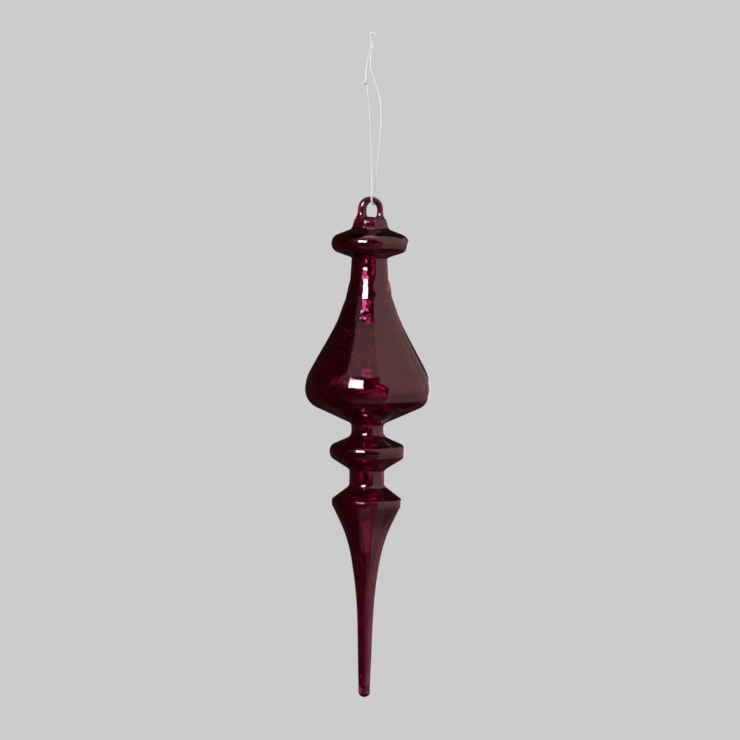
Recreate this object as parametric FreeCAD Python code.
import FreeCAD, Part
import math
import os

# A blown glass finial drop that hangs from a closed loop of metallic thread.
# Millimetres, +Z up. The origin is the point inside the top of the thread loop
# where a hook bears, and the glass is centred on the Z axis below it.
# The glass is one blown piece: a string of turned looking forms above a long
# pulled taper, hollow inside, with a bent eye of solid rod drawn on at the top.

Vector = FreeCAD.Vector

# Glass wall and what closes the hollow; the outline's small roundings fade out inside
glass_wall = 1.3
seal_thickness = 3.4
bore_tip_above_end = 25.0
hollow_least_rounding = 4.0

# Eye: a bent rod, thick in its left leg and thin in its right one
eye_below_hook = 80.6
eye_height = 10.9
eye_span = 8.9
eye_centre_offset = 0.35
eye_arch_rise = 5.07
eye_top_rod_radius = 1.43
eye_left_rod_radius = 2.35
eye_right_rod_radius = 1.65
eye_left_root_radius = 3.0
eye_right_root_radius = 2.1
eye_left_root_lean = 0.5
eye_right_root_lean = 0.1
eye_root_depth = 1.3

# Crown: the small drum that the eye stands on
crown_radius = 7.9
crown_foot_radius = 9.6
crown_height = 5.1
crown_dome_rise = 1.1
crown_edge_rounding = 1.0
crown_foot_rounding = 2.4

# Collar: a ring with sloping faces and one round edge
collar_radius = 19.4
collar_height = 14.5
collar_top_angle = 21.7
collar_under_angle = 18.8

# Neck and belly
neck_radius = 9.1
neck_bend_radius = 11.3
neck_straight_height = 23.7
neck_bend_rounding = 87.0
belly_radius = 31.65
belly_shoulder_height = 36.95
belly_side_height = 11.65
belly_under_height = 10.6
belly_shoulder_rounding = 16.0
belly_under_rounding = 11.5

# Upper stem and ring
upper_stem_radius = 8.25
upper_stem_height = 6.1
upper_stem_top_rounding = 2.0
upper_stem_foot_rounding = 1.5
ring_radius = 19.0
ring_height = 17.0
ring_top_angle = 26.0
ring_under_angle = 31.0

# Lower stem and flange
lower_stem_radius = 9.0
lower_stem_height = 8.1
lower_stem_top_rounding = 2.0
lower_stem_foot_rounding = 1.0
flange_radius = 17.6
flange_top_height = 6.6
flange_edge_height = 2.8
flange_rounding = 1.2

# Pulled taper
taper_upper_radius = 9.1
taper_upper_length = 17.6
taper_upper_rounding = 70.0
taper_middle_radius = 4.42
taper_middle_length = 28.6
taper_middle_rounding = 230.0
taper_tip_radius = 3.0
taper_lower_length = 51.3
taper_tip_rounding = 2.9

# Thread and its knot
thread_diameter = 0.9
knot_radius = 1.0
knot_end_radius = 0.6
knot_shoulder_share = 0.25
knot_tail_length = 1.1
knot_tail_radius = 0.4
knot_tail_directions = [Vector(-0.85, -0.15, -0.5), Vector(-0.45, 0.65, -0.62)]

# The thread's route: from the knot's lower face down the front strand, through the
# eye under its rod, up the back strand, over the hook and down to the knot again
thread_route = [
    Vector(-2.756, -0.648, -24.8),
    Vector(-2.18, -0.84, -29.6),
    Vector(-1.36, -1.04, -36.5),
    Vector(-0.68, -1.32, -47.0),
    Vector(-0.16, -1.62, -58.5),
    Vector(0.18, -1.88, -68.0),
    Vector(0.40, -2.02, -75.0),
    Vector(0.50, -2.02, -80.0),
    Vector(0.55, -2.02, -84.15),
    Vector(2.15, 2.10, -84.75),
    Vector(2.25, 2.10, -80.2),
    Vector(2.36, 1.90, -75.0),
    Vector(3.05, 1.62, -66.0),
    Vector(3.85, 1.36, -56.5),
    Vector(4.48, 1.12, -46.5),
    Vector(4.72, 0.95, -38.5),
    Vector(3.86, 0.82, -31.5),
    Vector(1.70, 0.62, -24.6),
    Vector(-0.55, 0.46, -19.0),
    Vector(-1.30, 0.32, -13.9),
    Vector(-0.52, 0.26, -8.2),
    Vector(0.48, 0.20, -4.6),
    Vector(1.10, 0.10, -2.0),
    Vector(1.10, 0.04, 0.45),
    Vector(-1.10, -0.04, 0.45),
    Vector(-1.12, -0.10, -1.9),
    Vector(-0.68, -0.18, -4.7),
    Vector(-1.52, -0.26, -8.4),
    Vector(-2.48, -0.32, -13.9),
    Vector(-3.404, -0.432, -19.4),
    Vector(-3.044, -0.552, -22.4),
]
arc_share_of_run = 0.45

thread_radius = thread_diameter / 2
eye_top_z = -eye_below_hook
crown_top_z = eye_top_z - eye_height


def round_edge(upper, lower, top_angle, under_angle, radius):
    """The corner where two sloping faces would meet, with the rounding that leaves the radius."""
    top_slope = math.tan(math.radians(top_angle))
    under_slope = math.tan(math.radians(under_angle))
    rise = upper[1] - lower[1] + top_slope * upper[0] + under_slope * lower[0]
    nose_radius = rise / (top_slope + under_slope)
    nose_z = upper[1] - top_slope * (nose_radius - upper[0])
    half_angle = math.radians(top_angle + under_angle) / 2
    tilt = math.radians(top_angle - under_angle) / 2
    rounding = (nose_radius - radius) / (math.cos(tilt) / math.sin(half_angle) - 1)
    return (nose_radius, nose_z, rounding)


def outline_corners():
    """Corners of the glass's outline from top to bottom, as radius, height and rounding."""
    crown_foot_z = crown_top_z - crown_height
    neck_top_z = crown_foot_z - collar_height
    neck_bend_z = neck_top_z - neck_straight_height
    belly_top_z = neck_bend_z - belly_shoulder_height
    belly_bottom_z = belly_top_z - belly_side_height
    upper_stem_top_z = belly_bottom_z - belly_under_height
    upper_stem_foot_z = upper_stem_top_z - upper_stem_height
    lower_stem_top_z = upper_stem_foot_z - ring_height
    lower_stem_foot_z = lower_stem_top_z - lower_stem_height
    flange_top_z = lower_stem_foot_z - flange_top_height
    flange_bottom_z = flange_top_z - flange_edge_height
    taper_upper_z = flange_bottom_z - taper_upper_length
    taper_middle_z = taper_upper_z - taper_middle_length
    taper_end_z = taper_middle_z - taper_lower_length
    crown_foot = (crown_foot_radius, crown_foot_z, crown_foot_rounding)
    neck_top = (neck_radius, neck_top_z, 0.0)
    upper_stem_foot = (upper_stem_radius, upper_stem_foot_z, upper_stem_foot_rounding)
    lower_stem_top = (lower_stem_radius, lower_stem_top_z, lower_stem_top_rounding)
    return [
        (0.0, crown_top_z + crown_dome_rise, 0.0),
        (crown_radius, crown_top_z, crown_edge_rounding),
        crown_foot,
        round_edge(crown_foot, neck_top, collar_top_angle, collar_under_angle, collar_radius),
        neck_top,
        (neck_bend_radius, neck_bend_z, neck_bend_rounding),
        (belly_radius, belly_top_z, belly_shoulder_rounding),
        (belly_radius, belly_bottom_z, belly_under_rounding),
        (upper_stem_radius, upper_stem_top_z, upper_stem_top_rounding),
        upper_stem_foot,
        round_edge(upper_stem_foot, lower_stem_top, ring_top_angle, ring_under_angle, ring_radius),
        lower_stem_top,
        (lower_stem_radius, lower_stem_foot_z, lower_stem_foot_rounding),
        (flange_radius, flange_top_z, flange_rounding),
        (flange_radius, flange_bottom_z, flange_rounding),
        (taper_upper_radius, taper_upper_z, taper_upper_rounding),
        (taper_middle_radius, taper_middle_z, taper_middle_rounding),
        (taper_tip_radius, taper_end_z, taper_tip_rounding),
        (0.0, taper_end_z, 0.0),
    ]


def point(corner):
    """A corner's place in the plane of the outline."""
    return Vector(corner[0], 0, corner[1])


def turn_at(before, here, after):
    """Signed turn at a corner, in radians: positive where the outline is hollow."""
    entering = point(here) - point(before)
    leaving = point(after) - point(here)
    cross = entering.x * leaving.z - entering.z * leaving.x
    return math.atan2(cross, entering.dot(leaving))


def at_height(start, end, height):
    """The point at a given height on the line through two corners."""
    share = (height - start[1]) / (end[1] - start[1])
    return start[0] + share * (end[0] - start[0])


def hollow_corners(outline):
    """Corners of the hollow: the outline moved inwards by the wall, closed at both ends."""
    inner = []
    for before, here, after in zip(outline[:-2], outline[1:-1], outline[2:]):
        turn = turn_at(before, here, after)
        entering = (point(here) - point(before)).normalize()
        leaving = (point(after) - point(here)).normalize()
        inward = Vector(entering.z + leaving.z, 0, -entering.x - leaving.x)
        shift = inward * (glass_wall / (1 + entering.dot(leaving)))
        moved = point(here) + shift
        fades = here[2] < hollow_least_rounding
        rounding = 0.0 if fades else here[2] + math.copysign(glass_wall, turn)
        inner.append((moved.x, moved.z, rounding))
    top = crown_top_z - seal_thickness
    bottom = outline[-1][1] + bore_tip_above_end
    below_top = [corner for corner in inner[1:] if corner[1] < top]
    along_bore = [corner for corner in below_top if corner[1] > bottom]
    bore_end_radius = at_height(along_bore[-1], below_top[len(along_bore)], bottom)
    first = (at_height(inner[0], below_top[0], top), top, 0.0)
    last = (bore_end_radius, bottom, bore_end_radius)
    return [(0.0, top, 0.0), first] + along_bore + [last, (0.0, bottom, 0.0)]


def rounded_edges(corners):
    """Lines and tangent arcs along a row of corners, roundings cut down where runs are short."""
    turns = [0.0]
    for before, here, after in zip(corners[:-2], corners[1:-1], corners[2:]):
        turns.append(turn_at(before, here, after))
    turns.append(0.0)
    reach = [corner[2] * math.tan(abs(turn) / 2) for corner, turn in zip(corners, turns)]
    runs = [(point(b) - point(a)).Length for a, b in zip(corners[:-1], corners[1:])]
    share = [1.0] * len(corners)
    for index, run in enumerate(runs):
        wanted = reach[index] + reach[index + 1]
        limit = 0.999 * run / wanted if wanted > 0 else 1.0
        share[index] = min(share[index], limit)
        share[index + 1] = min(share[index + 1], limit)
    edges = []
    current = point(corners[0])
    for index in range(1, len(corners) - 1):
        here = point(corners[index])
        if reach[index] == 0:
            edges.append(Part.LineSegment(current, here).toShape())
            current = here
            continue
        back = (point(corners[index - 1]) - here).normalize()
        onward = (point(corners[index + 1]) - here).normalize()
        cut = reach[index] * share[index]
        radius = corners[index][2] * share[index]
        start = here + back * cut
        end = here + onward * cut
        to_middle = (back + onward).normalize()
        centre_distance = math.hypot(radius, cut)
        middle = here + to_middle * (centre_distance - radius)
        edges.append(Part.LineSegment(current, start).toShape())
        edges.append(Part.Arc(start, middle, end).toShape())
        current = end
    edges.append(Part.LineSegment(current, point(corners[-1])).toShape())
    return edges


def turned(corners):
    """The solid that a row of corners sweeps round the Z axis."""
    edges = rounded_edges(corners)
    edges.append(Part.LineSegment(point(corners[-1]), point(corners[0])).toShape())
    face = Part.Face(Part.Wire(edges))
    return face.revolve(Vector(0, 0, 0), Vector(0, 0, 1), 360)


def eye_section(centre_x, height, rod_radius, tilt):
    """One round section of the eye's rod, its axis tilted from upright towards +X."""
    ring = Part.Wire(Part.makeCircle(rod_radius))
    turn = FreeCAD.Rotation(Vector(0, 1, 0), tilt)
    ring.Placement = FreeCAD.Placement(Vector(centre_x, 0, height), turn)
    return ring


def eye_solid():
    """The bent rod of the eye, from inside the crown up, over the arch and down again."""
    half_span = eye_span / 2
    spring_z = eye_top_z - eye_top_rod_radius - eye_arch_rise
    root_z = crown_top_z - eye_root_depth
    leg_middle_z = (spring_z + root_z) / 2
    left_x = eye_centre_offset - half_span
    right_x = eye_centre_offset + half_span
    left_middle_radius = (eye_left_rod_radius * 2 + eye_left_root_radius) / 3
    right_middle_radius = (eye_right_rod_radius * 2 + eye_right_root_radius) / 3
    sections = [
        eye_section(left_x - eye_left_root_lean, root_z, eye_left_root_radius, 0),
        eye_section(left_x - eye_left_root_lean / 3, leg_middle_z, left_middle_radius, 0),
    ]
    for step in range(7):
        angle = math.pi * step / 6
        side = math.cos(angle)
        leg_radius = eye_left_rod_radius if side > 0 else eye_right_rod_radius
        rod_radius = eye_top_rod_radius + (leg_radius - eye_top_rod_radius) * abs(side)
        centre_x = eye_centre_offset - half_span * side
        height = spring_z + eye_arch_rise * math.sin(angle)
        tilt = math.degrees(math.atan2(half_span * math.sin(angle), eye_arch_rise * side))
        sections.append(eye_section(centre_x, height, rod_radius, tilt))
    sections.append(eye_section(right_x + eye_right_root_lean / 3, leg_middle_z, right_middle_radius, 180))
    sections.append(eye_section(right_x + eye_right_root_lean, root_z, eye_right_root_radius, 180))
    return Part.makeLoft(sections, True, False)


def glass_drop():
    """The whole blown piece."""
    outline = outline_corners()
    body = turned(outline)
    hollow = turned(hollow_corners(outline))
    return body.fuse(eye_solid()).cut(hollow)


def thread_wire():
    """The thread's centre line: straight runs joined by tangent arcs."""
    edges = []
    radii = []
    current = thread_route[0]
    for before, here, after in zip(thread_route[:-2], thread_route[1:-1], thread_route[2:]):
        back = before - here
        onward = after - here
        cut = arc_share_of_run * min(back.Length, onward.Length)
        turn = math.pi - back.getAngle(onward)
        radius = cut / math.tan(turn / 2)
        radii.append(radius)
        back.normalize()
        onward.normalize()
        start = here + back * cut
        end = here + onward * cut
        to_middle = (back + onward).normalize()
        middle = here + to_middle * (math.hypot(radius, cut) - radius)
        edges.append(Part.LineSegment(current, start).toShape())
        edges.append(Part.Arc(start, middle, end).toShape())
        current = end
    edges.append(Part.LineSegment(current, thread_route[-1]).toShape())
    return Part.Wire(edges), radii


def hanging_thread():
    """The thread as a plain round tube along its route, without the knot."""
    wire, radii = thread_wire()
    along = thread_route[1] - thread_route[0]
    section = Part.Wire(Part.makeCircle(thread_radius, thread_route[0], along))
    tube = wire.makePipeShell([section], True, False)
    length = wire.Length
    ideal = math.pi * thread_radius ** 2 * length
    print("thread length", round(length, 2), "volume", round(tube.Volume, 3), "of", round(ideal, 3))
    print("thread arc radii", [round(radius, 1) for radius in radii])
    return tube


def thread_knot():
    """The knot that closes the loop: a small barrel between the thread's two ends, with tails."""
    lower = thread_route[0]
    upper = thread_route[-1]
    length = (upper - lower).Length
    shoulder = length * knot_shoulder_share
    corners = [
        Vector(0, 0, 0),
        Vector(knot_end_radius, 0, 0),
        Vector(knot_radius, 0, shoulder),
        Vector(knot_radius, 0, length - shoulder),
        Vector(knot_end_radius, 0, length),
        Vector(0, 0, length),
    ]
    face = Part.Face(Part.makePolygon(corners + corners[:1]))
    barrel = face.revolve(Vector(0, 0, 0), Vector(0, 0, 1), 360)
    turn = FreeCAD.Rotation(Vector(0, 0, 1), upper - lower)
    barrel.Placement = FreeCAD.Placement(lower, turn)
    centre = (lower + upper) * 0.5
    knot = barrel
    for direction in knot_tail_directions:
        reach = knot_radius + knot_tail_length
        knot = knot.fuse(Part.makeCylinder(knot_tail_radius, reach, centre, direction))
    return knot


def single_solid(shape):
    """The one solid in a shape, with no leftover seams."""
    solids = shape.removeSplitter().Solids
    if len(solids) != 1:
        raise ValueError("expected one solid, found " + str(len(solids)))
    return solids[0]


nodes = {
    "glass_drop": glass_drop,
    "hanging_thread": hanging_thread,
    "thread_knot": thread_knot,
}

os.makedirs("parts", exist_ok=True)
for name, make in nodes.items():
    shape = single_solid(make())
    if not shape.isValid():
        raise ValueError(name + " is not a valid solid")
    shape.exportStep("parts/" + name + ".step")
    print(name, "volume", round(shape.Volume, 1), "faces", len(shape.Faces), shape.BoundBox)
